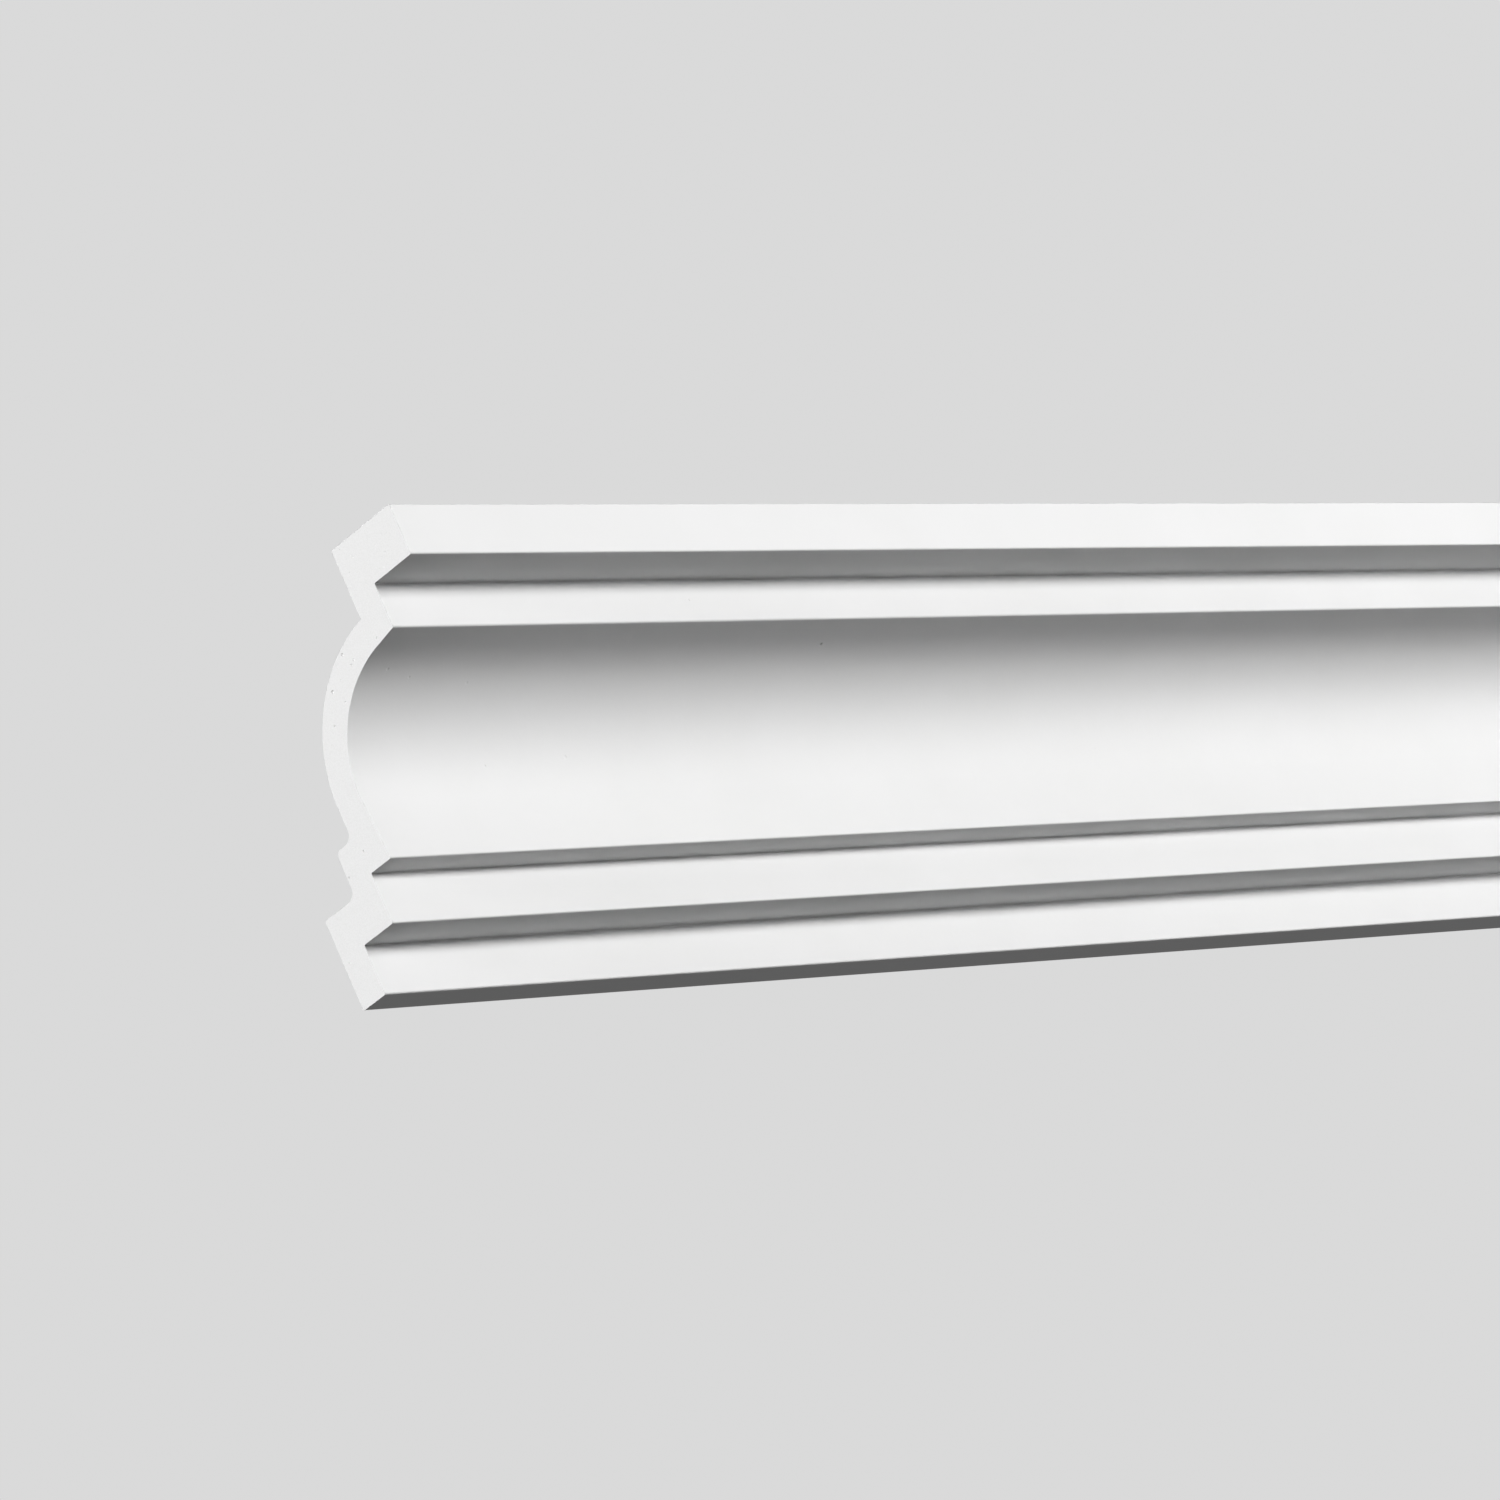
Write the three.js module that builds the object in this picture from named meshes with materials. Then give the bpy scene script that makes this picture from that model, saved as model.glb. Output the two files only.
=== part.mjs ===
// A length of cornice moulding for the corner between a wall and a ceiling.
//
// It is one moulded piece of rigid white foam, about 8 mm thick, whose back follows its face.
// The wall is the plane Y = 0 and the room is on the -Y side. The moulding runs along X.
// From the bottom up the face has: a low fascia, a step out, a middle fascia, a small step out,
// a deep cove, an upper fascia, a wide step out, and the top fascia under the ceiling.
// The origin is the middle of the flat face that is fixed to the wall.
// Lengths are in millimetres, angles in degrees.

import * as THREE from 'three';

// Run of the moulding, cut square at both ends.
const LENGTH = 1000;

// Heights of the face's members, from the bottom up.
const LOW_FASCIA_HEIGHT = 13.45;
const MIDDLE_FASCIA_HEIGHT = 13.7;
const COVE_HEIGHT = 46.95;
const UPPER_FASCIA_HEIGHT = 12.05;
const TOP_FASCIA_HEIGHT = 13.85;

// Depths of the members, from the wall out.
const FOOT_THICKNESS = 8.4;
const LOW_STEP_DEPTH = 10.9;
const SMALL_STEP_DEPTH = 7.45;
const COVE_DEPTH = 29.3;
const TOP_STEP_DEPTH = 13.95;

// The cove is one arc between two straight flanks. Each flank leans by a draft angle.
const COVE_RADIUS = 28.1;
const COVE_HEAD_DRAFT = 10.6;
const COVE_FOOT_DRAFT = 3.7;

// The back: how thick the foam is behind each member, the radius of the arc behind the cove, and
// the heights of the wall seat and of the ledge over it.
const WAIST_THICKNESS = 7.8;
const CROWN_THICKNESS = 8.2;
const COVE_BACK_RADIUS = 35.1;
const HEAD_THICKNESS = 8.2;
const MIDDLE_THICKNESS = 7.6;
const WALL_SEAT_HEIGHT = 24.6;
const BACK_LEDGE_HEIGHT = 12.4;

// Roundings of the section.
const ARRIS_RADIUS = 0.5;
const FACE_HOLLOW_RADIUS = 0.3;
const BACK_LEDGE_RADIUS = 1.6;
const BACK_HOLLOW_RADIUS = 2.8;

// Fineness of the arcs.
const COVE_ARC_STEPS = 40;
const ROUNDING_STEPS = 5;

// Places that the sizes above give. "out" is measured from the wall, "up" from the bottom edge.
const middleFasciaOut = FOOT_THICKNESS + LOW_STEP_DEPTH;
const coveFootOut = middleFasciaOut + SMALL_STEP_DEPTH;
const upperFasciaOut = coveFootOut + COVE_DEPTH;
const topFasciaOut = upperFasciaOut + TOP_STEP_DEPTH;
const middleFasciaUp = LOW_FASCIA_HEIGHT;
const coveFootUp = middleFasciaUp + MIDDLE_FASCIA_HEIGHT;
const coveHeadUp = coveFootUp + COVE_HEIGHT;
const topStepUp = coveHeadUp + UPPER_FASCIA_HEIGHT;
const ceilingUp = topStepUp + TOP_FASCIA_HEIGHT;
const headBackOut = upperFasciaOut - HEAD_THICKNESS;
const middleBackOut = middleFasciaOut - MIDDLE_THICKNESS;
const backLedgeUp = WALL_SEAT_HEIGHT + BACK_LEDGE_HEIGHT;

const point = (out, up) => new THREE.Vector2(out, up);

// Centre of the circle that touches both flanks of the cove from the room side.
function coveCentre() {
  const head = THREE.MathUtils.degToRad(COVE_HEAD_DRAFT);
  const foot = THREE.MathUtils.degToRad(COVE_FOOT_DRAFT);
  const alongHead = point(-Math.cos(head), -Math.sin(head));
  const alongFoot = point(-Math.sin(foot), Math.cos(foot));
  const fromHead = point(upperFasciaOut, coveHeadUp)
    .addScaledVector(point(Math.sin(head), -Math.cos(head)), COVE_RADIUS);
  const fromFoot = point(coveFootOut, coveFootUp)
    .addScaledVector(point(Math.cos(foot), Math.sin(foot)), COVE_RADIUS);
  const gap = fromFoot.clone().sub(fromHead);
  const distance = gap.cross(alongFoot) / alongHead.cross(alongFoot);
  return fromHead.addScaledVector(alongHead, distance);
}

// Points of a round arc, the angles counted from the "out" direction towards "up".
function arc(centre, radius, startDegrees, endDegrees, steps) {
  const start = THREE.MathUtils.degToRad(startDegrees);
  const end = THREE.MathUtils.degToRad(endDegrees);
  const curve = new THREE.EllipseCurve(
    centre.x, centre.y, radius, radius, start, end, endDegrees < startDegrees);
  return curve.getPoints(steps);
}

// Points that round one corner, between its two neighbours on the outline.
function roundCorner(before, corner, after, radius) {
  const towardsBefore = before.clone().sub(corner).normalize();
  const towardsAfter = after.clone().sub(corner).normalize();
  const halfAngle = Math.acos(towardsBefore.dot(towardsAfter)) / 2;
  const cutBack = radius / Math.tan(halfAngle);
  const bisector = towardsBefore.clone().add(towardsAfter).normalize();
  const centre = corner.clone().addScaledVector(bisector, radius / Math.sin(halfAngle));
  const first = corner.clone().addScaledVector(towardsBefore, cutBack).sub(centre);
  const turn = Math.PI - 2 * halfAngle;
  const side = Math.sign(towardsAfter.cross(towardsBefore));
  const points = [];
  for (let step = 0; step <= ROUNDING_STEPS; step += 1) {
    const angle = side * turn * step / ROUNDING_STEPS;
    points.push(first.clone().rotateAround(point(0, 0), angle).add(centre));
  }
  return points;
}

// The outline, anticlockwise from the bottom edge at the wall. Each corner has its rounding
// radius. A run of arc points has radius 0, because it is round already.
function sectionOutline() {
  const centre = coveCentre();
  const waistOut = centre.x - COVE_RADIUS - WAIST_THICKNESS;
  const crownUp = centre.y + COVE_RADIUS + CROWN_THICKNESS;
  const backCentre = point(waistOut + COVE_BACK_RADIUS, crownUp - COVE_BACK_RADIUS);
  const headReach = (backCentre.x - headBackOut) / COVE_BACK_RADIUS;
  const headAngle = 180 - THREE.MathUtils.radToDeg(Math.acos(headReach));
  const headMeetUp = backCentre.y + COVE_BACK_RADIUS * Math.sqrt(1 - headReach ** 2);
  // The back arc starts clear of the rounded corner under the head.
  const hollowAngle = THREE.MathUtils.radToDeg(2 * BACK_HOLLOW_RADIUS / COVE_BACK_RADIUS);

  const corners = [
    [point(0, 0), ARRIS_RADIUS],
    [point(FOOT_THICKNESS, 0), ARRIS_RADIUS],
    [point(FOOT_THICKNESS, middleFasciaUp), FACE_HOLLOW_RADIUS],
    [point(middleFasciaOut, middleFasciaUp), ARRIS_RADIUS],
    [point(middleFasciaOut, coveFootUp), FACE_HOLLOW_RADIUS],
    [point(coveFootOut, coveFootUp), ARRIS_RADIUS],
    ...arc(centre, COVE_RADIUS, 180 + COVE_FOOT_DRAFT, 90 + COVE_HEAD_DRAFT, COVE_ARC_STEPS)
      .map((p) => [p, 0]),
    [point(upperFasciaOut, coveHeadUp), ARRIS_RADIUS],
    [point(upperFasciaOut, topStepUp), FACE_HOLLOW_RADIUS],
    [point(topFasciaOut, topStepUp), ARRIS_RADIUS],
    [point(topFasciaOut, ceilingUp), ARRIS_RADIUS],
    [point(headBackOut, ceilingUp), ARRIS_RADIUS],
    [point(headBackOut, headMeetUp), BACK_HOLLOW_RADIUS],
    ...arc(backCentre, COVE_BACK_RADIUS, headAngle + hollowAngle, 180, COVE_ARC_STEPS)
      .map((p) => [p, 0]),
    [point(waistOut, backLedgeUp), BACK_HOLLOW_RADIUS],
    [point(middleBackOut, backLedgeUp), BACK_LEDGE_RADIUS],
    [point(middleBackOut, WALL_SEAT_HEIGHT), BACK_HOLLOW_RADIUS],
    [point(0, WALL_SEAT_HEIGHT), ARRIS_RADIUS],
  ];
  return corners.flatMap(([corner, radius], index) => {
    if (radius === 0) {
      return [corner];
    }
    const before = corners[(index + corners.length - 1) % corners.length][0];
    const after = corners[(index + 1) % corners.length][0];
    return roundCorner(before, corner, after, radius);
  });
}

function mouldingMaterial() {
  return new THREE.MeshStandardMaterial({
    name: 'primed foam',
    color: new THREE.Color(0.93, 0.93, 0.925),
    roughness: 0.62,
    metalness: 0,
  });
}

// The section is drawn with "out" along x and "up" along y, and is drawn out along z. The turn
// carries "out" to -Y, "up" to +Z, and the run to -X.
function corniceMoulding() {
  const section = new THREE.Shape(sectionOutline());
  const geometry = new THREE.ExtrudeGeometry(section, {
    depth: LENGTH,
    steps: 1,
    bevelEnabled: false,
  });
  geometry.translate(0, -WALL_SEAT_HEIGHT / 2, -LENGTH / 2);
  const moulding = new THREE.Mesh(geometry, mouldingMaterial());
  moulding.name = 'cornice_moulding';
  moulding.rotation.set(0, -Math.PI / 2, -Math.PI / 2);
  return moulding;
}

const model = new THREE.Group();
model.add(corniceMoulding());

export default model;
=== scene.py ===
"""A length of coved cornice moulding in primed white foam, dressed around its fixed frame.

The moulding runs along X. The wall is the plane Y = 0 and the room is on the -Y side. Lengths
are in metres where nothing else is said. In the section, "out" is measured from the wall into
the room, and "up" from the moulding's bottom edge.
"""

import logging
import math
import random
from collections.abc import Callable
from dataclasses import dataclass
from enum import Enum

import bmesh
import bpy
from mathutils import Matrix, Vector


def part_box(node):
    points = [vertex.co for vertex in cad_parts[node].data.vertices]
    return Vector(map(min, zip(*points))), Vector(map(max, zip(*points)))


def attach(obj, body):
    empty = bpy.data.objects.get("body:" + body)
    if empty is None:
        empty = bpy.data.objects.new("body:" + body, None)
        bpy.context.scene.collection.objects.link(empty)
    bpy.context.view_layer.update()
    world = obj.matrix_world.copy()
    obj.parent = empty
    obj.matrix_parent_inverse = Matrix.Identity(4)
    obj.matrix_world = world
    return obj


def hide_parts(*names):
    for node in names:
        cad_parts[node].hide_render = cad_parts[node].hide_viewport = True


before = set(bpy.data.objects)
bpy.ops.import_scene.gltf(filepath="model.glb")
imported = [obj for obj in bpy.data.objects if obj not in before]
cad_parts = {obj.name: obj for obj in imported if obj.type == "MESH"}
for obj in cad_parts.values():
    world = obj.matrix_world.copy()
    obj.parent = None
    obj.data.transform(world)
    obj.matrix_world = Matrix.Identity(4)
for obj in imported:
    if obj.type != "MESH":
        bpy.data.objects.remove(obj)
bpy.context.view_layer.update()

LOG = logging.getLogger("cornice")
MILLIMETRE = 0.001
NODE = "cornice_moulding"
BODY = "root"
WHITE = (1.0, 1.0, 1.0, 1.0)
BLACK = (0.0, 0.0, 0.0, 1.0)

Colour = tuple[float, float, float]
Span = tuple[float, float]
EdgeTest = Callable[[Vector, Vector], bool]
Socket = bpy.types.NodeSocket


class Surface(Enum):
    """The moulding's kinds of surface, in the order of its material slots."""

    FACE = 0
    BACK = 1
    SAWN_END = 2


def section_point(out: float, up: float, along: float = 0.0) -> Vector:
    """Turn a place in the section into a point of the part.

    Args:
        out: Distance from the wall into the room.
        up: Height above the moulding's bottom edge.
        along: The point's place along X.

    Returns:
        The point in the part's own frame.
    """
    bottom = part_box(NODE)[0][2]
    return Vector((along, -out, bottom + up))


def deselect_objects() -> None:
    """Leave no object selected, so that an operator acts on the new piece alone."""
    bpy.ops.object.select_all(action="DESELECT")


def select_alone(piece: bpy.types.Object) -> None:
    """Select one object and make it the active one.

    Args:
        piece: The object to select.
    """
    deselect_objects()
    piece.select_set(True)
    bpy.context.view_layer.objects.active = piece


def apply_modifier(piece: bpy.types.Object, kind: str, **settings: object) -> None:
    """Add one modifier to a piece, set it up and apply it.

    Args:
        piece: The object to change.
        kind: Blender's name for the type of modifier.
        settings: Values for the modifier's own settings.
    """
    select_alone(piece)
    modifier = piece.modifiers.new(kind.lower(), kind)
    for name, value in settings.items():
        setattr(modifier, name, value)
    bpy.ops.object.modifier_apply(modifier=modifier.name)


@dataclass(frozen=True)
class Mottle:
    """A soft noise pattern: how wide its blotches are, its finer layers, and its relief.

    The span is the part of the noise's values that the pattern is stretched over.
    """

    size: float
    layers: float
    span: Span = (0.35, 0.65)
    height: float = 0.0


@dataclass(frozen=True)
class PitsWithPaintedShade:
    """Round pits too fine to be modelled, in a share of the places that they could have, each
    painted a darker tone as painted shade in its hollow.
    """

    spacing: float
    radius: float
    share: float
    depth: float
    # tone: painted shade, the darker colour that stands in for the shade inside each pit.
    tone: Colour


class NodeSheet:
    """A small helper that lays out the nodes of one material.

    A Mix node's sockets for colours share their names with others, so they go by their numbers.
    """

    FIRST_COLOUR = 6
    SECOND_COLOUR = 7
    MIXED_COLOUR = 2

    def __init__(self, name: str) -> None:
        """Start a material that holds one Principled shader.

        Args:
            name: The material's name.
        """
        self.material = bpy.data.materials.new(name)
        self.material.use_nodes = True
        self.tree = self.material.node_tree
        self.shader = self.tree.nodes["Principled BSDF"]
        self.place = self.tree.nodes.new("ShaderNodeTexCoord").outputs["Object"]

    def link(self, source: Socket, target: Socket) -> None:
        """Join an output to an input.

        Args:
            source: The output.
            target: The input.
        """
        self.tree.links.new(source, target)

    def stretched(self, scale: tuple[float, float, float]) -> Socket:
        """Give the piece's coordinates, scaled along each axis.

        Args:
            scale: The factor along X, Y and Z.

        Returns:
            The scaled coordinates.
        """
        mapping = self.tree.nodes.new("ShaderNodeMapping")
        mapping.inputs["Scale"].default_value = scale
        self.link(self.place, mapping.inputs["Vector"])
        return mapping.outputs["Vector"]

    def noise(self, mottle: Mottle, place: Socket | None = None) -> Socket:
        """Add a mottle's noise.

        Args:
            mottle: The pattern, of which the size and the layers are used.
            place: The coordinates to read, the piece's own by default.

        Returns:
            The noise, from 0 to 1.
        """
        noise = self.tree.nodes.new("ShaderNodeTexNoise")
        noise.inputs["Scale"].default_value = 1.0 / mottle.size
        noise.inputs["Detail"].default_value = mottle.layers
        self.link(place or self.place, noise.inputs["Vector"])
        return noise.outputs["Fac"]

    def dots(self, pits: PitsWithPaintedShade) -> Socket:
        """Add the round dots that show where pits are.

        Args:
            pits: The pits, of which the spacing, the radius and the share are used.

        Returns:
            Up to 1 in the middle of a pit, fading to 0 at its rim and between pits.
        """
        cells = self.tree.nodes.new("ShaderNodeTexVoronoi")
        cells.inputs["Scale"].default_value = 1.0 / pits.spacing
        self.link(self.place, cells.inputs["Vector"])
        rim = self.ramp(cells.outputs["Distance"], (0.0, pits.radius / pits.spacing), (1.0, 0.0))
        luck = self.tree.nodes.new("ShaderNodeSeparateColor")
        self.link(cells.outputs["Color"], luck.inputs["Color"])
        chosen = self.ramp(luck.outputs["Red"], (1.0 - pits.share, 1.0))
        return self.product(rim, chosen)

    def ramp(self, source: Socket, span: Span, result: Span = (0.0, 1.0)) -> Socket:
        """Map a range of one value onto another range, clamped at both ends.

        Args:
            source: The value to map.
            span: The two ends of its range.
            result: What the two ends give.

        Returns:
            The mapped value.
        """
        ramp = self.tree.nodes.new("ShaderNodeMapRange")
        for name, value in zip(("From Min", "From Max", "To Min", "To Max"), (*span, *result)):
            ramp.inputs[name].default_value = value
        self.link(source, ramp.inputs["Value"])
        return ramp.outputs["Result"]

    def product(self, first: Socket, second: Socket) -> Socket:
        """Multiply two values.

        Args:
            first: The first value.
            second: The second value.

        Returns:
            Their product.
        """
        node = self.tree.nodes.new("ShaderNodeMath")
        node.operation = "MULTIPLY"
        self.link(first, node.inputs[0])
        self.link(second, node.inputs[1])
        return node.outputs["Value"]

    def blend(self, amount: Socket, at_zero: Colour | Socket, at_one: Colour) -> Socket:
        """Blend between two colours.

        Args:
            amount: How much of the second colour shows, from 0 to 1.
            at_zero: The first colour, plain or from a node.
            at_one: The second colour.

        Returns:
            The blended colour.
        """
        mix = self.tree.nodes.new("ShaderNodeMix")
        mix.data_type = "RGBA"
        self.link(amount, mix.inputs["Factor"])
        if isinstance(at_zero, Socket):
            self.link(at_zero, mix.inputs[self.FIRST_COLOUR])
        else:
            mix.inputs[self.FIRST_COLOUR].default_value = (*at_zero, 1.0)
        mix.inputs[self.SECOND_COLOUR].default_value = (*at_one, 1.0)
        return mix.outputs[self.MIXED_COLOUR]

    def colour(self, coat: Socket, dots: Socket, pits: PitsWithPaintedShade) -> None:
        """Give the surface the colour of its coat, and paint shade into its pits with their darker
        tone.

        Args:
            coat: The coat's colour.
            dots: The dots that show where the pits are.
            pits: The pits.
        """
        # The pits' darker tone is painted shade in their hollows.
        self.link(self.blend(dots, coat, pits.tone), self.shader.inputs["Base Color"])

    def roughen(self, noise: Socket, mottle: Mottle, middle: float, spread: float) -> None:
        """Let the roughness follow a mottle.

        Args:
            noise: The mottle's noise.
            mottle: The mottle.
            middle: The roughness halfway through its span.
            spread: How much it falls and rises from there.
        """
        roughness = self.ramp(noise, mottle.span, (middle - spread, middle + spread))
        self.link(roughness, self.shader.inputs["Roughness"])

    def bump(self, layers: list[tuple[Socket, float]]) -> None:
        """Raise the surface by several patterns, one on another.

        Args:
            layers: Each pattern with its height. A negative height sinks it.
        """
        normal = None
        for pattern, height in layers:
            bump = self.tree.nodes.new("ShaderNodeBump")
            bump.invert = height < 0.0
            bump.inputs["Distance"].default_value = abs(height)
            self.link(pattern, bump.inputs["Height"])
            if normal is not None:
                self.link(normal, bump.inputs["Normal"])
            normal = bump.outputs["Normal"]
        self.link(normal, self.shader.inputs["Normal"])


@dataclass(frozen=True)
class PrimedFace:
    """Matte white primer over the moulded skin: even, with a faint peel and a few pinholes, which
    hold painted shade.
    """

    white: Colour = (0.765, 0.765, 0.765)
    thin_coat: Colour = (0.75, 0.75, 0.748)
    roughness: float = 0.58
    roughness_spread: float = 0.05
    clouds: Mottle = Mottle(size=35 * MILLIMETRE, layers=3.0)
    peel: Mottle = Mottle(size=1.6 * MILLIMETRE, layers=2.0, span=(0.2, 0.8),
                          height=0.014 * MILLIMETRE)
    grain: Mottle = Mottle(size=0.25 * MILLIMETRE, layers=1.0, height=0.003 * MILLIMETRE)
    # The pinholes' grey tone is painted shade in the pits, not a colour of the primer.
    pinholes: PitsWithPaintedShade = PitsWithPaintedShade(spacing=14 * MILLIMETRE, radius=0.22 * MILLIMETRE, share=0.25,
                          depth=0.08 * MILLIMETRE, tone=(0.45, 0.45, 0.445))

    def material(self) -> bpy.types.Material:
        """Build the primer's material.

        Returns:
            The finished material.
        """
        sheet = NodeSheet("primed face")
        clouds = sheet.noise(self.clouds)
        peel = sheet.noise(self.peel)
        grain = sheet.noise(self.grain)
        pinholes = sheet.dots(self.pinholes)
        coat = sheet.blend(sheet.ramp(clouds, self.clouds.span), self.white, self.thin_coat)
        # Lays the coat with painted shade in the pinholes.
        sheet.colour(coat, pinholes, self.pinholes)
        sheet.roughen(peel, self.peel, self.roughness, self.roughness_spread)
        sheet.bump([(peel, self.peel.height), (grain, self.grain.height),
                    (pinholes, -self.pinholes.depth)])
        return sheet.material


@dataclass(frozen=True)
class MouldedBack:
    """The bare skin of the back, as it leaves the mould: duller, with drawn-out flow marks."""

    white: Colour = (0.73, 0.73, 0.722)
    flow_tone: Colour = (0.695, 0.695, 0.685)
    roughness: float = 0.72
    roughness_spread: float = 0.08
    flow: Mottle = Mottle(size=6 * MILLIMETRE, layers=4.0, span=(0.35, 0.7),
                          height=0.1 * MILLIMETRE)
    flow_stretch: float = 5.5
    skin: Mottle = Mottle(size=0.7 * MILLIMETRE, layers=3.0, span=(0.3, 0.7),
                          height=0.025 * MILLIMETRE)
    # The bubbles' grey tone is painted shade in the opened bubbles.
    bubbles: PitsWithPaintedShade = PitsWithPaintedShade(spacing=4.5 * MILLIMETRE, radius=0.35 * MILLIMETRE, share=0.3,
                         depth=0.2 * MILLIMETRE, tone=(0.56, 0.56, 0.55))

    def material(self) -> bpy.types.Material:
        """Build the back skin's material.

        Returns:
            The finished material.
        """
        sheet = NodeSheet("moulded back")
        along_run = sheet.stretched((1.0 / self.flow_stretch, 1.0, 1.0))
        flow = sheet.noise(self.flow, along_run)
        skin = sheet.noise(self.skin)
        bubbles = sheet.dots(self.bubbles)
        tone = sheet.blend(sheet.ramp(flow, self.flow.span), self.white, self.flow_tone)
        # Lays the skin's tone with painted shade in the bubbles.
        sheet.colour(tone, bubbles, self.bubbles)
        sheet.roughen(skin, self.skin, self.roughness, self.roughness_spread)
        sheet.bump([(flow, self.flow.height), (skin, self.skin.height),
                    (bubbles, -self.bubbles.depth)])
        return sheet.material


@dataclass(frozen=True)
class SawnFoam:
    """Foam that a saw has opened: dull white, full of fine closed cells, faintly scored."""

    white: Colour = (0.765, 0.765, 0.765)
    cell_shade: Colour = (0.725, 0.725, 0.722)
    roughness: float = 0.85
    cells: Mottle = Mottle(size=0.3 * MILLIMETRE, layers=3.0, span=(0.4, 0.65),
                           height=0.02 * MILLIMETRE)
    scores: Mottle = Mottle(size=0.5 * MILLIMETRE, layers=2.0, height=0.012 * MILLIMETRE)
    score_stretch: float = 30.0
    # The pores' grey tone is painted shade in the open pores.
    pores: PitsWithPaintedShade = PitsWithPaintedShade(spacing=1.6 * MILLIMETRE, radius=0.16 * MILLIMETRE, share=0.5,
                       depth=0.08 * MILLIMETRE, tone=(0.56, 0.56, 0.555))

    def material(self) -> bpy.types.Material:
        """Build the sawn end's material.

        Returns:
            The finished material.
        """
        sheet = NodeSheet("sawn foam")
        across_end = sheet.stretched((1.0, 1.0 / self.score_stretch, 1.0))
        cells = sheet.noise(self.cells)
        scores = sheet.noise(self.scores, across_end)
        pores = sheet.dots(self.pores)
        tone = sheet.blend(sheet.ramp(cells, self.cells.span), self.white, self.cell_shade)
        # Lays the foam's tone with painted shade in the pores.
        sheet.colour(tone, pores, self.pores)
        sheet.shader.inputs["Roughness"].default_value = self.roughness
        sheet.bump([(scores, self.scores.height), (cells, self.cells.height),
                    (pores, -self.pores.depth)])
        return sheet.material


Finish = PrimedFace | MouldedBack | SawnFoam


class SectionTracer:
    """Draws a moulding's skin by leading one long edge around the section, corner by corner.

    Points closer than WELD count as one, and an edge closer than REACH to a corner is on it.
    """

    WELD = 0.01 * MILLIMETRE
    REACH = 0.02 * MILLIMETRE

    def __init__(self, name: str, length: float, seat_height: float, runs: int) -> None:
        """Lay the seat against the wall and take hold of its bottom edge.

        Args:
            name: The new piece's name.
            length: The moulding's length.
            seat_height: The height of the face that rests on the wall.
            runs: How many faces divide the length.
        """
        deselect_objects()
        middle = section_point(0.0, seat_height / 2)
        bpy.ops.mesh.primitive_grid_add(x_subdivisions=runs, y_subdivisions=1, size=1.0,
                                        location=middle, rotation=(math.pi / 2, 0.0, 0.0))
        self.piece = bpy.context.object
        self.piece.name = name
        self.piece.data.name = name
        self.piece.scale = (length, seat_height, 1.0)
        bpy.ops.object.transform_apply(location=True, rotation=True, scale=True)
        bpy.ops.object.mode_set(mode="EDIT")
        bpy.ops.mesh.select_mode(type="EDGE")
        self.here = Vector((0.0, 0.0))
        self.select_edges(lambda a, b: max(a.z, b.z) < middle.z)

    def select_edges(self, wanted: EdgeTest) -> None:
        """Select only the edges that pass a test on their two ends.

        Args:
            wanted: Takes both ends of an edge and says whether to select it.
        """
        bpy.ops.mesh.select_all(action="DESELECT")
        mesh = bmesh.from_edit_mesh(self.piece.data)
        for edge in mesh.edges:
            edge.select_set(wanted(edge.verts[0].co, edge.verts[1].co))
        bmesh.update_edit_mesh(self.piece.data)

    def line_to(self, place: Vector) -> None:
        """Draw the skin straight on to a place in the section.

        Args:
            place: The place, as out and up.
        """
        step = place - self.here
        bpy.ops.mesh.extrude_region_move(TRANSFORM_OT_translate={"value": (0.0, -step.x, step.y)})
        self.here = place.copy()

    def sweep_to(self, centre: Vector, degrees: float, steps: int) -> None:
        """Draw the skin round an arc.

        Args:
            centre: The arc's centre in the section.
            degrees: The turn from "out" towards "up", negative for the other way.
            steps: How many faces make the arc.
        """
        bpy.ops.mesh.spin(steps=steps, angle=math.radians(degrees),
                          center=section_point(*centre), axis=(1.0, 0.0, 0.0))
        self.here = centre + Matrix.Rotation(math.radians(degrees), 2) @ (self.here - centre)

    def close(self) -> None:
        """Join the last edge to the first and fill both ends."""
        bpy.ops.mesh.select_all(action="SELECT")
        bpy.ops.mesh.remove_doubles(threshold=self.WELD)
        bpy.ops.mesh.select_all(action="DESELECT")
        bpy.ops.mesh.select_non_manifold()
        bpy.ops.mesh.fill_holes(sides=0)
        bpy.ops.mesh.select_all(action="SELECT")
        bpy.ops.mesh.normals_make_consistent(inside=False)

    def round_corners(self, corners: list[Vector], radius: float, segments: int) -> None:
        """Round the long edges that stand at given corners of the section.

        Args:
            corners: The corners, each as out and up.
            radius: The radius of the rounding.
            segments: How many faces make one rounding.
        """
        points = [section_point(*corner) for corner in corners]

        def at_corner(a: Vector, b: Vector) -> bool:
            """Say whether an edge runs along one of the corners."""
            near = any(math.hypot(a.y - p.y, a.z - p.z) < self.REACH for p in points)
            return near and math.hypot(a.y - b.y, a.z - b.z) < self.WELD

        self.select_edges(at_corner)
        bpy.ops.mesh.bevel(offset=radius, offset_type="OFFSET", segments=segments, profile=0.5,
                           affect="EDGES", clamp_overlap=True)

    def finish(self) -> bpy.types.Object:
        """Leave edit mode.

        Returns:
            The traced piece.
        """
        bpy.ops.object.mode_set(mode="OBJECT")
        return self.piece


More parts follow.
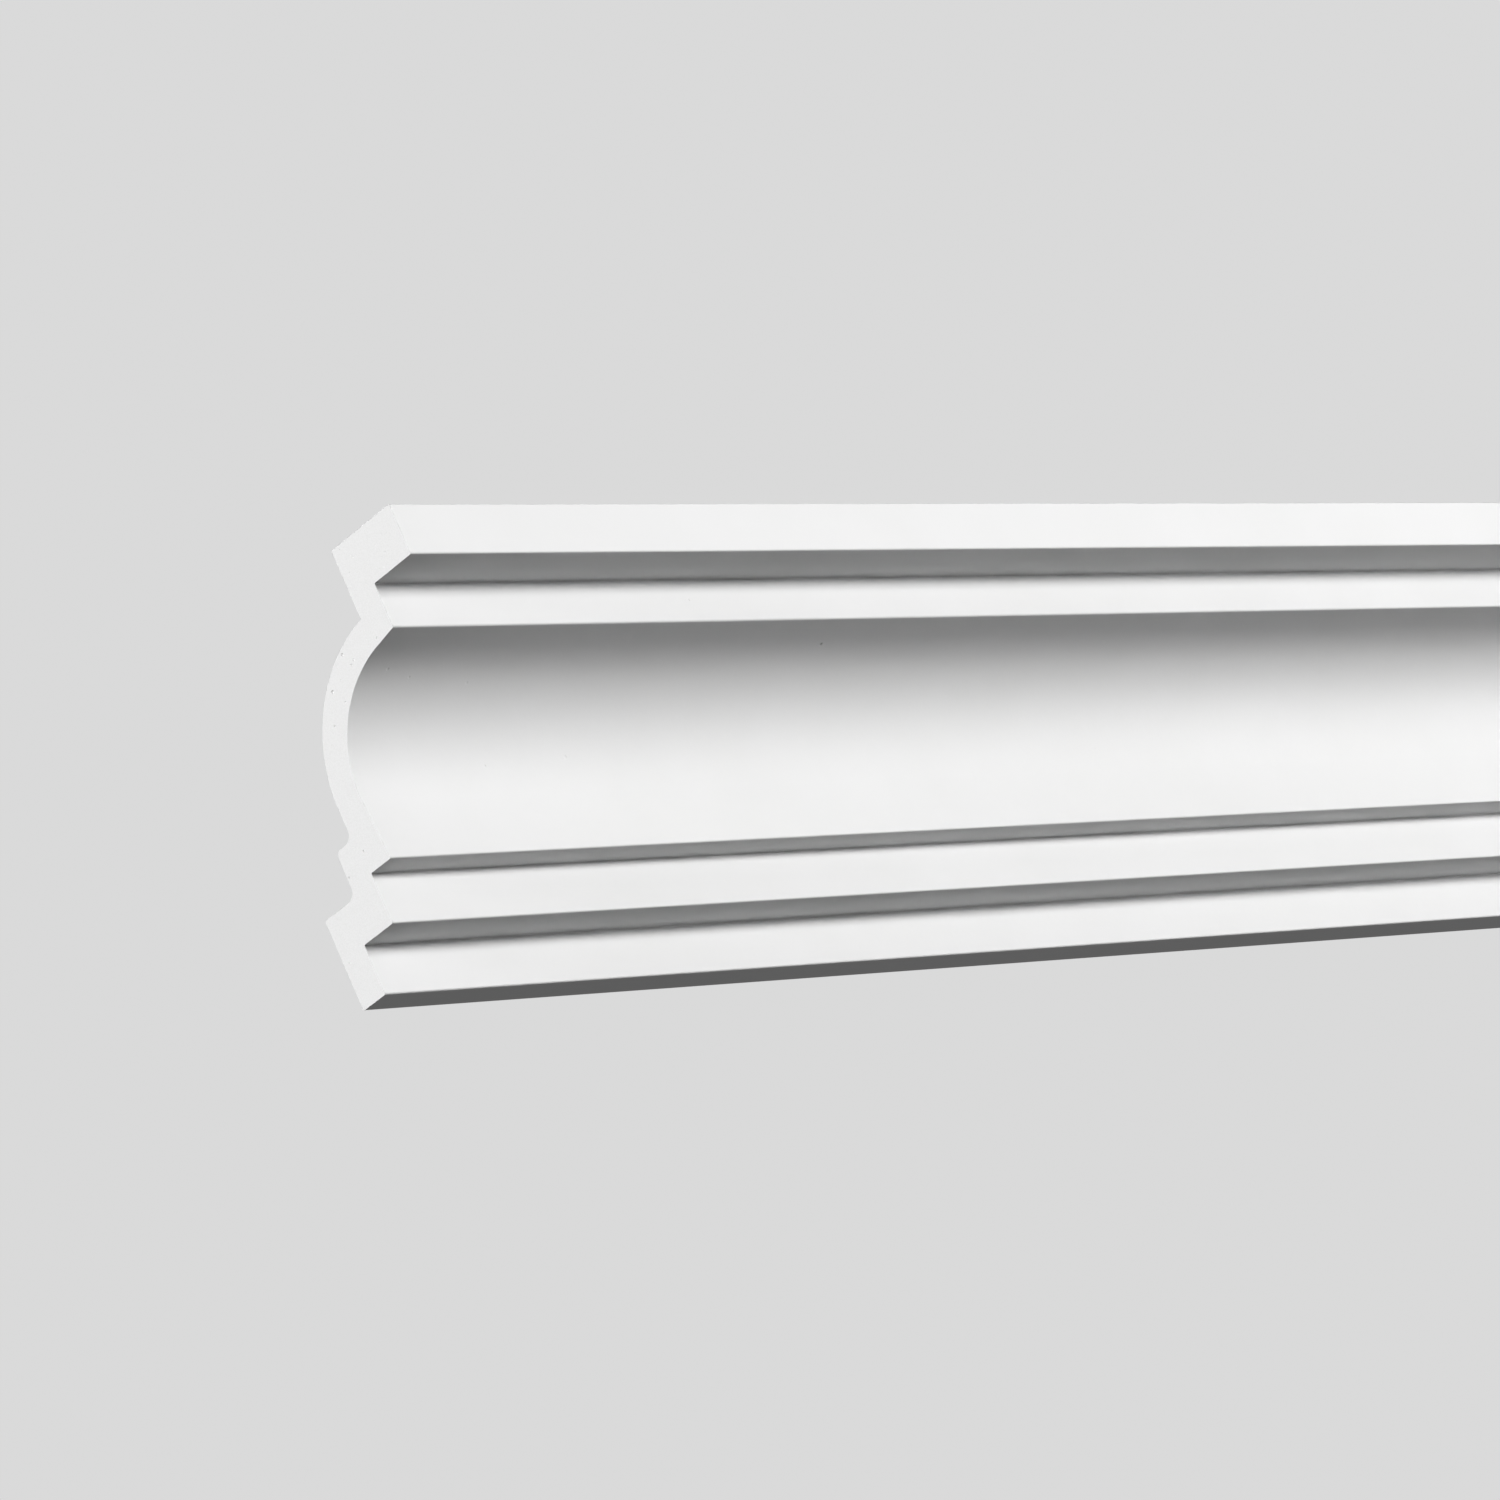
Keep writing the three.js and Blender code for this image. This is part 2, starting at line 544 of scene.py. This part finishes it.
@dataclass(frozen=True)
class Bubble:
    """One opened bubble: how wide its mouth is, how deep it goes and the rim that it needs."""

    mouth_radius: float
    depth: float
    fineness: int = 2
    rim: float = 0.25 * MILLIMETRE

    def room(self) -> float:
        """Give how far from its middle the surface round the bubble has to be free."""
        return self.mouth_radius + self.rim

    def towards(self, other: "Bubble", share: float) -> "Bubble":
        """Give a bubble between this one and another.

        Args:
            other: The other bubble, which also gives the fineness.
            share: How far to go towards it, from 0 to 1.

        Returns:
            The bubble in between.
        """
        return Bubble(self.mouth_radius + share * (other.mouth_radius - self.mouth_radius),
                      self.depth + share * (other.depth - self.depth), other.fineness)


class BubbleCutter:
    """Opens bubbles in a closed piece's surface, where the foam's gas has left them.

    Each bubble is cut by a rounded tool. LIFT is how far the tool's middle stands over the
    surface, as a share of its half height, so that the bubble's wall meets the surface at a
    slant. A place is fit for a bubble if PROBES probes round it, let down from PROBE_HEIGHT,
    find the surface there as well: turned from the middle's by an angle whose cosine is at
    least LEAST_FACING, and out of line by at most MOST_STEP of their reach.
    """

    LIFT = 0.4
    PROBES = 8
    PROBE_HEIGHT = 2 * MILLIMETRE
    LEAST_FACING = 0.96
    MOST_STEP = 0.35
    TRIES_PER_BUBBLE = 30

    def __init__(self, piece: bpy.types.Object, seed: int) -> None:
        """Get ready to cut one piece.

        Args:
            piece: The closed piece to cut, with its materials in place.
            seed: The start of the row of chance places and sizes.
        """
        self.piece = piece
        self.chance = random.Random(seed)
        self.tools: list[bpy.types.Object] = []
        self.taken: list[tuple[Vector, float]] = []

    def is_clear(self, place: Vector, normal: Vector, room: float) -> bool:
        """Say whether the surface round a place is even, whole and free of other bubbles.

        Args:
            place: The middle of the place, on the surface.
            normal: The surface's normal there.
            room: How far from the middle it has to be clear.

        Returns:
            True if a bubble fits there.
        """
        if any((place - other).length < room + reach for other, reach in self.taken):
            return False
        side = normal.orthogonal().normalized()
        for probe in range(self.PROBES):
            arm = Matrix.Rotation(probe * math.tau / self.PROBES, 3, normal) @ side
            met, there, facing, _ = self.piece.ray_cast(
                place + room * arm + self.PROBE_HEIGHT * normal, -normal)
            if not met or facing.dot(normal) < self.LEAST_FACING:
                return False
            if abs((there - place).dot(normal)) > self.MOST_STEP * room:
                return False
        return True

    def open_at(self, place: Vector, normal: Vector, bubble: Bubble, surface: Surface) -> bool:
        """Stand the tool for one bubble in its place, if there is room for it.

        Args:
            place: The middle of the bubble's mouth, on the surface.
            normal: The surface's normal there.
            bubble: The bubble's size.
            surface: The kind of surface that lines the bubble.

        Returns:
            True if the bubble found room.
        """
        if not self.is_clear(place, normal, bubble.room()):
            return False
        half_width = bubble.mouth_radius / math.sqrt(1.0 - self.LIFT ** 2)
        half_height = bubble.depth / (1.0 - self.LIFT)
        deselect_objects()
        bpy.ops.mesh.primitive_ico_sphere_add(
            subdivisions=bubble.fineness, radius=1.0,
            location=place + self.LIFT * half_height * normal,
            rotation=normal.to_track_quat("Z", "Y").to_euler(),
            scale=(half_width, half_width, half_height))
        tool = bpy.context.object
        for material in self.piece.data.materials:
            tool.data.materials.append(material)
        for face in tool.data.polygons:
            face.material_index = surface.value
        self.tools.append(tool)
        self.taken.append((place.copy(), bubble.room()))
        return True

    def open_near(self, place: Vector, bubble: Bubble, surface: Surface) -> None:
        """Open a bubble at the surface nearest to a place.

        Args:
            place: The place, on the surface or close to it.
            bubble: The bubble's size.
            surface: The kind of surface that lines it.
        """
        _, nearest, normal, _ = self.piece.closest_point_on_mesh(place)
        if not self.open_at(nearest, normal, bubble, surface):
            LOG.info("no room for a bubble near %s", tuple(place))

    def scatter(self, low: Vector, high: Vector, way: Vector, count: int, smallest: Bubble,
                largest: Bubble, surface: Surface) -> None:
        """Open bubbles at chance places that probes from a box find.

        Args:
            low: The lowest corner of the box that the probes start in.
            high: The box's highest corner.
            way: The direction of the probes.
            count: How many bubbles to open.
            smallest: The smallest bubble.
            largest: The largest bubble.
            surface: The kind of surface that lines them.
        """
        opened = 0
        for _ in range(self.TRIES_PER_BUBBLE * count):
            if opened == count:
                return
            start = Vector([self.chance.uniform(a, b) for a, b in zip(low, high)])
            bubble = smallest.towards(largest, self.chance.random() ** 2)
            met, place, normal, _ = self.piece.ray_cast(start, way)
            if met and self.open_at(place, normal, bubble, surface):
                opened += 1

    def cut(self) -> None:
        """Take every placed bubble out of the piece."""
        deselect_objects()
        for tool in self.tools:
            tool.select_set(True)
        bpy.context.view_layer.objects.active = self.tools[0]
        bpy.ops.object.join()
        tool = bpy.context.object
        apply_modifier(self.piece, "BOOLEAN", operation="DIFFERENCE", solver="EXACT",
                       object=tool)
        bpy.data.objects.remove(tool)
        LOG.info("%d bubbles opened", len(self.tools))


@dataclass(frozen=True)
class Section:
    """The moulding's cross section, by the sizes of its members.

    Places are out and up. The drafts, by which the cove's flanks lean, are in degrees.
    """

    projection: float
    drop: float
    low_fascia: float = 13.45 * MILLIMETRE
    middle_fascia: float = 13.7 * MILLIMETRE
    cove_height: float = 46.95 * MILLIMETRE
    upper_fascia: float = 12.05 * MILLIMETRE
    foot_thickness: float = 8.4 * MILLIMETRE
    low_step: float = 10.9 * MILLIMETRE
    small_step: float = 7.45 * MILLIMETRE
    cove_depth: float = 29.3 * MILLIMETRE
    cove_radius: float = 28.1 * MILLIMETRE
    head_draft: float = 10.6
    foot_draft: float = 3.7
    waist_thickness: float = 7.8 * MILLIMETRE
    crown_thickness: float = 8.2 * MILLIMETRE
    back_radius: float = 35.1 * MILLIMETRE
    head_thickness: float = 8.2 * MILLIMETRE
    middle_thickness: float = 7.6 * MILLIMETRE
    wall_seat: float = 24.6 * MILLIMETRE
    back_ledge: float = 12.4 * MILLIMETRE
    arris_radius: float = 0.5 * MILLIMETRE
    hollow_radius: float = 0.3 * MILLIMETRE
    ledge_radius: float = 1.6 * MILLIMETRE
    back_hollow_radius: float = 2.8 * MILLIMETRE

    def middle_out(self) -> float:
        """Give how far the middle fascia stands from the wall."""
        return self.foot_thickness + self.low_step

    def cove_foot(self) -> Vector:
        """Give the corner under the cove."""
        return Vector((self.middle_out() + self.small_step, self.low_fascia + self.middle_fascia))

    def cove_head(self) -> Vector:
        """Give the corner over the cove."""
        return self.cove_foot() + Vector((self.cove_depth, self.cove_height))

    def step_up(self) -> float:
        """Give the height of the wide step under the top fascia."""
        return self.cove_head().y + self.upper_fascia

    def cove_centre(self) -> Vector:
        """Find the centre of the arc that touches both flanks of the cove.

        Returns:
            The centre.
        """
        head, foot = math.radians(self.head_draft), math.radians(self.foot_draft)
        along_head = Vector((-math.cos(head), -math.sin(head)))
        along_foot = Vector((-math.sin(foot), math.cos(foot)))
        from_head = self.cove_head() + self.cove_radius * Vector((math.sin(head), -math.cos(head)))
        from_foot = self.cove_foot() + self.cove_radius * Vector((math.cos(foot), math.sin(foot)))
        gap = from_foot - from_head
        distance = gap.cross(along_foot) / along_head.cross(along_foot)
        return from_head + distance * along_head

    def flank_end(self) -> Vector:
        """Give the place where the cove's lower flank runs into its arc."""
        turn = math.radians(180.0 + self.foot_draft)
        return self.cove_centre() + self.cove_radius * Vector((math.cos(turn), math.sin(turn)))

    def cove_sweep(self) -> float:
        """Give the turn of the cove's arc in degrees, from its foot to its head."""
        return self.head_draft - 90.0 - self.foot_draft

    def waist_out(self) -> float:
        """Give how far the back of the cove stands from the wall."""
        return self.cove_centre().x - self.cove_radius - self.waist_thickness

    def back_centre(self) -> Vector:
        """Give the centre of the arc behind the cove."""
        crown_up = self.cove_centre().y + self.cove_radius + self.crown_thickness
        return Vector((self.waist_out() + self.back_radius, crown_up - self.back_radius))

    def back_arc_start(self) -> float:
        """Give the angle from "out" at which the arc behind the cove meets the head's back."""
        head_out = self.cove_head().x - self.head_thickness
        return math.acos((head_out - self.back_centre().x) / self.back_radius)

    def back_sweep(self) -> float:
        """Give the turn of the arc behind the cove in degrees, from the head to the waist."""
        return 180.0 - math.degrees(self.back_arc_start())

    def face_corners(self) -> list[Vector]:
        """List the face's corners below the cove's arc.

        Returns:
            The corners, from the bottom edge up.
        """
        foot = self.cove_foot()
        return [Vector((self.foot_thickness, 0.0)),
                Vector((self.foot_thickness, self.low_fascia)),
                Vector((self.middle_out(), self.low_fascia)),
                Vector((self.middle_out(), foot.y)), foot, self.flank_end()]

    def head_corners(self) -> list[Vector]:
        """List the corners of the head, which carries the top fascia.

        Returns:
            The corners, from the cove's head round to the arc behind the cove.
        """
        head = self.cove_head()
        head_out = head.x - self.head_thickness
        arc_up = self.back_centre().y + self.back_radius * math.sin(self.back_arc_start())
        return [head, Vector((head.x, self.step_up())),
                Vector((self.projection, self.step_up())),
                Vector((self.projection, self.drop)), Vector((head_out, self.drop)),
                Vector((head_out, arc_up))]

    def back_corners(self) -> list[Vector]:
        """List the back's corners below its arc.

        Returns:
            The corners, down to the top of the wall seat.
        """
        ledge_up = self.wall_seat + self.back_ledge
        back_out = self.middle_out() - self.middle_thickness
        return [Vector((self.waist_out(), ledge_up)), Vector((back_out, ledge_up)),
                Vector((back_out, self.wall_seat)), Vector((0.0, self.wall_seat))]


@dataclass(frozen=True)
class FoamMarks:
    """The bubbles in the foam: those that the photograph shows, and finer ones strewn about.

    Each mark is in millimetres. On the sawn end it is out, up and the mouth's radius, and the
    depth is a share of that radius. On the face it is the distance from the near end, out, up,
    the mouth's radius and the depth. Bubbles are strewn by probes from outside: from end_gap
    past the ends, and from back_rise over the back and up to back_reach behind it.
    """

    sawn: tuple[tuple[float, float, float], ...] = (
        (38.1, 76.8, 0.42), (40.7, 73.9, 0.32), (39.5, 73.2, 0.28), (30.7, 70.8, 0.45),
        (27.1, 63.3, 0.36), (50.1, 74.6, 0.3), (33.1, 66.5, 0.28), (12.5, 29.7, 0.32),
        (20.0, 32.9, 0.32), (2.0, 12.0, 0.28))
    face: tuple[tuple[float, float, float, float, float], ...] = (
        (168.0, 46.4, 72.2, 0.48, 0.5), (9.1, 41.8, 70.5, 0.5, 0.09),
        (18.0, 39.6, 69.4, 0.4, 0.08), (39.6, 37.9, 68.3, 0.5, 0.08),
        (47.5, 26.3, 51.3, 0.4, 0.1), (77.5, 26.7, 52.6, 0.65, 0.1),
        (111.5, 56.05, 80.1, 0.35, 0.1))
    sawn_depth: float = 1.1
    face_fineness: int = 3
    fine_per_end: int = 70
    finest: Bubble = Bubble(0.08 * MILLIMETRE, 0.08 * MILLIMETRE)
    coarsest: Bubble = Bubble(0.2 * MILLIMETRE, 0.16 * MILLIMETRE)
    end_gap: float = 10 * MILLIMETRE
    on_back: int = 60
    smallest_on_back: Bubble = Bubble(0.3 * MILLIMETRE, 0.12 * MILLIMETRE)
    largest_on_back: Bubble = Bubble(1.3 * MILLIMETRE, 0.45 * MILLIMETRE, fineness=3)
    back_rise: float = 30 * MILLIMETRE
    back_reach: float = 130 * MILLIMETRE
    seed: int = 17

    def open_in(self, piece: bpy.types.Object) -> None:
        """Open all the bubbles in the moulding.

        Args:
            piece: The moulding, closed and with its materials in place.
        """
        low, high = (Vector(corner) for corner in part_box(NODE))
        cutter = BubbleCutter(piece, self.seed)
        self.open_seen(cutter, low)
        self.strew_ends(cutter, low, high)
        self.strew_back(cutter, low, high)
        cutter.cut()

    def open_seen(self, cutter: BubbleCutter, low: Vector) -> None:
        """Open the bubbles that the photograph shows on the near end and on the face.

        Args:
            cutter: The moulding's cutter.
            low: The lowest corner of the moulding's box, which is at the near end.
        """
        for out, up, radius in self.sawn:
            place = section_point(out * MILLIMETRE, up * MILLIMETRE, low.x)
            bubble = Bubble(radius * MILLIMETRE, self.sawn_depth * radius * MILLIMETRE)
            cutter.open_near(place, bubble, Surface.SAWN_END)
        for along, out, up, radius, depth in self.face:
            place = section_point(out * MILLIMETRE, up * MILLIMETRE, low.x + along * MILLIMETRE)
            bubble = Bubble(radius * MILLIMETRE, depth * MILLIMETRE, self.face_fineness)
            cutter.open_near(place, bubble, Surface.FACE)

    def strew_ends(self, cutter: BubbleCutter, low: Vector, high: Vector) -> None:
        """Strew fine bubbles over both sawn ends.

        Args:
            cutter: The moulding's cutter.
            low: The lowest corner of the moulding's box.
            high: The box's highest corner.
        """
        for start, way in ((low.x - self.end_gap, 1.0), (high.x + self.end_gap, -1.0)):
            cutter.scatter(Vector((start, low.y, low.z)), Vector((start, high.y, high.z)),
                           Vector((way, 0.0, 0.0)), self.fine_per_end,
                           self.finest, self.coarsest, Surface.SAWN_END)

    def strew_back(self, cutter: BubbleCutter, low: Vector, high: Vector) -> None:
        """Strew shallow bubbles over the back.

        Args:
            cutter: The moulding's cutter.
            low: The lowest corner of the moulding's box.
            high: The box's highest corner.
        """
        start_up = high.z + self.back_rise
        cutter.scatter(Vector((low.x, low.y / 2, start_up)),
                       Vector((high.x, high.y + self.back_reach, start_up)),
                       Vector((0.0, -1.0, -1.0)).normalized(), self.on_back,
                       self.smallest_on_back, self.largest_on_back, Surface.BACK)


@dataclass(frozen=True)
class CorniceMoulding:
    """The moulding itself: one cast piece, cut square at both ends.

    The runs divide its length, the arc steps each large arc, and the segments each rounding.
    Faces that meet at more than the crease angle keep a crisp edge. A face whose normal lies
    along the run by more than END_FACING is a sawn end, and one that looks at the wall or the
    ceiling, give or take BACK_SLACK, is the back.
    """

    END_FACING = 0.5
    BACK_SLACK = 0.02

    name: str = "moulded_cornice"
    runs: int = 60
    arc_steps: int = 72
    arris_segments: int = 5
    hollow_segments: int = 3
    ledge_segments: int = 6
    back_hollow_segments: int = 8
    crease_angle: float = 35.0
    marks: FoamMarks = FoamMarks()
    finishes: tuple[Finish, ...] = (PrimedFace(), MouldedBack(), SawnFoam())

    def build(self) -> bpy.types.Object:
        """Model the moulding and dress it.

        Returns:
            The finished piece.
        """
        low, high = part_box(NODE)
        section = Section(high[1] - low[1], high[2] - low[2])
        tracer = SectionTracer(self.name, high[0] - low[0], section.wall_seat, self.runs)
        self.trace(tracer, section)
        self.round_off(tracer, section)
        piece = tracer.finish()
        for finish in self.finishes:
            piece.data.materials.append(finish.material())
        for face in piece.data.polygons:
            face.material_index = self.surface_of(face.normal).value
        self.marks.open_in(piece)
        self.smooth(piece)
        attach(piece, BODY)
        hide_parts(NODE)
        LOG.info("%s: %d faces", self.name, len(piece.data.polygons))
        return piece

    def trace(self, tracer: SectionTracer, section: Section) -> None:
        """Draw the skin all round, from the bottom edge by the wall back to the wall seat.

        Args:
            tracer: The tracer, at the bottom edge by the wall.
            section: The section to draw.
        """
        for corner in section.face_corners():
            tracer.line_to(corner)
        tracer.sweep_to(section.cove_centre(), section.cove_sweep(), self.arc_steps)
        for corner in section.head_corners():
            tracer.line_to(corner)
        tracer.sweep_to(section.back_centre(), section.back_sweep(), self.arc_steps)
        for corner in section.back_corners():
            tracer.line_to(corner)
        tracer.close()

    def round_off(self, tracer: SectionTracer, section: Section) -> None:
        """Round the section's arrises and hollows.

        Args:
            tracer: The tracer, with the closed shape.
            section: The section that was drawn.
        """
        toe, low_hollow, nose, small_hollow, foot, _ = section.face_corners()
        head, step_hollow, lip, brow, head_back, _ = section.head_corners()
        waist_hollow, ledge, seat_hollow, seat_top = section.back_corners()
        arrises = [Vector((0.0, 0.0)), toe, nose, foot, head, lip, brow, head_back, seat_top]
        tracer.round_corners(arrises, section.arris_radius, self.arris_segments)
        tracer.round_corners([low_hollow, small_hollow, step_hollow], section.hollow_radius,
                             self.hollow_segments)
        tracer.round_corners([ledge], section.ledge_radius, self.ledge_segments)
        tracer.round_corners([waist_hollow, seat_hollow], section.back_hollow_radius,
                             self.back_hollow_segments)

    def surface_of(self, normal: Vector) -> Surface:
        """Tell a face's kind of surface from the way it looks.

        Args:
            normal: The face's outward normal.

        Returns:
            The kind of surface.
        """
        if abs(normal.x) > self.END_FACING:
            return Surface.SAWN_END
        if min(normal.y, normal.z) > -self.BACK_SLACK:
            return Surface.BACK
        return Surface.FACE

    def smooth(self, piece: bpy.types.Object) -> None:
        """Shade the rounded places smooth and keep the flats flat and the rims crisp.

        Args:
            piece: The modelled moulding.
        """
        select_alone(piece)
        bpy.ops.object.shade_smooth_by_angle(angle=math.radians(self.crease_angle))
        apply_modifier(piece, "WEIGHTED_NORMAL", keep_sharp=True)


@dataclass(frozen=True)
class PhotoView:
    """The photograph's view, from what was measured in its picture.

    Pixel places are in the photograph's own frame, counted from its top left corner. The scale is
    the one at the bottom corner of the near end, and the section's turn is in degrees.
    """

    frame_width_px: float = 1500.0
    focal_px: float = 7897.3
    run_vanishes_px: tuple[float, float] = (7483.9, 493.8)
    bottom_corner_px: tuple[float, float] = (363.64, 1011.02)
    px_per_millimetre: float = 4.1638
    section_turn: float = 29.753
    film_width_mm: float = 36.0

    def seen_from_lens(self, pixel: tuple[float, float]) -> Vector:
        """Turn a place in the picture into a direction in the camera's own axes.

        Args:
            pixel: The place, as across and down.

        Returns:
            The direction, with X to the right, Y up and -Z ahead, one unit deep.
        """
        middle = self.frame_width_px / 2
        return Vector(((pixel[0] - middle) / self.focal_px,
                       (middle - pixel[1]) / self.focal_px, -1.0))

    def part_axes(self) -> Matrix:
        """Work out how the part's axes stand in the camera's axes.

        Returns:
            A rotation whose columns are the part's X, Y and Z as the camera sees them.
        """
        run = self.seen_from_lens(self.run_vanishes_px).normalized()
        upright = Vector((0.0, 1.0, 0.0))
        across_up = (upright - upright.dot(run) * run).normalized()
        across = run.cross(across_up)
        turn = math.radians(self.section_turn)
        out = math.cos(turn) * across + math.sin(turn) * across_up
        up = math.cos(turn) * across_up - math.sin(turn) * across
        return Matrix((run, -out, up)).transposed()

    def place_camera(self) -> bpy.types.Object:
        """Set the camera where the photograph was taken.

        Returns:
            The camera.
        """
        low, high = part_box(NODE)
        corner = Vector((low[0], high[1], low[2]))
        depth = self.focal_px / self.px_per_millimetre * MILLIMETRE
        to_part = self.part_axes().transposed()
        data = bpy.data.cameras.new("photo_view")
        data.sensor_width = self.film_width_mm
        data.lens = self.film_width_mm * self.focal_px / self.frame_width_px
        camera = bpy.data.objects.new("photo_view", data)
        camera.matrix_world = to_part.to_4x4()
        camera.location = corner - to_part @ (depth * self.seen_from_lens(self.bottom_corner_px))
        bpy.context.scene.collection.objects.link(camera)
        bpy.context.scene.camera = camera
        return camera


@dataclass(frozen=True)
class Softbox:
    """A square soft light that looks at the near part of the moulding.

    The strength is how bright the light makes a white surface that faces it.
    """

    name: str
    way: tuple[float, float, float]
    strength: float
    side: float
    distance: float = 3.5
    target: tuple[float, float, float] = (-0.27, -0.03, 0.04)

    def hang(self) -> bpy.types.Object:
        """Hang the light.

        Returns:
            The light.
        """
        way = Vector(self.way).normalized()
        data = bpy.data.lights.new(self.name, "AREA")
        data.size = self.side
        data.energy = self.strength * (math.pi * self.distance) ** 2
        light = bpy.data.objects.new(self.name, data)
        light.location = Vector(self.target) + self.distance * way
        light.rotation_euler = way.to_track_quat("Z", "Y").to_euler()
        light.visible_camera = False
        bpy.context.scene.collection.objects.link(light)
        return light


@dataclass(frozen=True)
class Studio:
    """A plain pale floor and backdrop with soft lights."""

    lights: tuple[Softbox, ...] = (
        Softbox("near_end_light", (-0.985, -0.045, 0.168), 0.97, 0.58),
        Softbox("front_light", (0.0, -0.973, 0.23), 0.41, 0.5),
        Softbox("side_front_light", (0.423, -0.901, 0.1), 0.612, 0.45),
        Softbox("low_side_light", (0.951, -0.29, -0.106), 0.281, 0.58),
        Softbox("overhead_light", (0.0, -0.5, 0.866), 0.09, 0.58),
        Softbox("low_rear_light", (0.0, 0.8, -0.6), 0.146, 0.58),
        Softbox("high_rear_light", (0.0, 0.8, 0.6), 0.95, 0.58))
    surround_light: float = 0.036
    backdrop_tone: float = 0.70
    floor_drop: float = 8.0
    floor_size: float = 40.0

    def build(self) -> None:
        """Lay the floor, hang the lights and set the surroundings."""
        self.lay_floor()
        for light in self.lights:
            light.hang()
        self.surround()
        bpy.context.scene.view_settings.view_transform = "Standard"

    def lay_floor(self) -> None:
        """Lay a plain floor that shows as bright as the backdrop from every side.

        It lies so far below the part that views from below stay clear, and lends it no light.
        """
        deselect_objects()
        bpy.ops.mesh.primitive_plane_add(size=self.floor_size,
                                         location=(0.0, 0.0, -self.floor_drop))
        floor = bpy.context.object
        floor.name = "studio_floor"
        floor.visible_diffuse = False
        floor.visible_glossy = False
        sheet = NodeSheet("studio floor")
        sheet.shader.inputs["Base Color"].default_value = BLACK
        sheet.shader.inputs["Specular IOR Level"].default_value = 0.0
        sheet.shader.inputs["Emission Color"].default_value = WHITE
        sheet.shader.inputs["Emission Strength"].default_value = self.backdrop_tone
        floor.data.materials.append(sheet.material)

    def surround(self) -> None:
        """Fill the surroundings with a little even light and show them as a pale backdrop."""
        world = bpy.data.worlds.new("studio")
        world.use_nodes = True
        tree = world.node_tree
        fill = tree.nodes["Background"]
        backdrop = tree.nodes.new("ShaderNodeBackground")
        for glow, strength in ((fill, self.surround_light), (backdrop, self.backdrop_tone)):
            glow.inputs["Color"].default_value = WHITE
            glow.inputs["Strength"].default_value = strength
        path = tree.nodes.new("ShaderNodeLightPath")
        mix = tree.nodes.new("ShaderNodeMixShader")
        share, unseen, seen = mix.inputs
        tree.links.new(path.outputs["Is Camera Ray"], share)
        tree.links.new(fill.outputs["Background"], unseen)
        tree.links.new(backdrop.outputs["Background"], seen)
        tree.links.new(mix.outputs["Shader"], tree.nodes["World Output"].inputs["Surface"])
        bpy.context.scene.world = world


def main() -> None:
    """Build the part in its studio; building it logs how many faces the part has."""
    logging.basicConfig(level=logging.INFO, format="%(message)s")
    CorniceMoulding().build()
    PhotoView().place_camera()
    Studio().build()


if __name__ == "__main__":
    main()
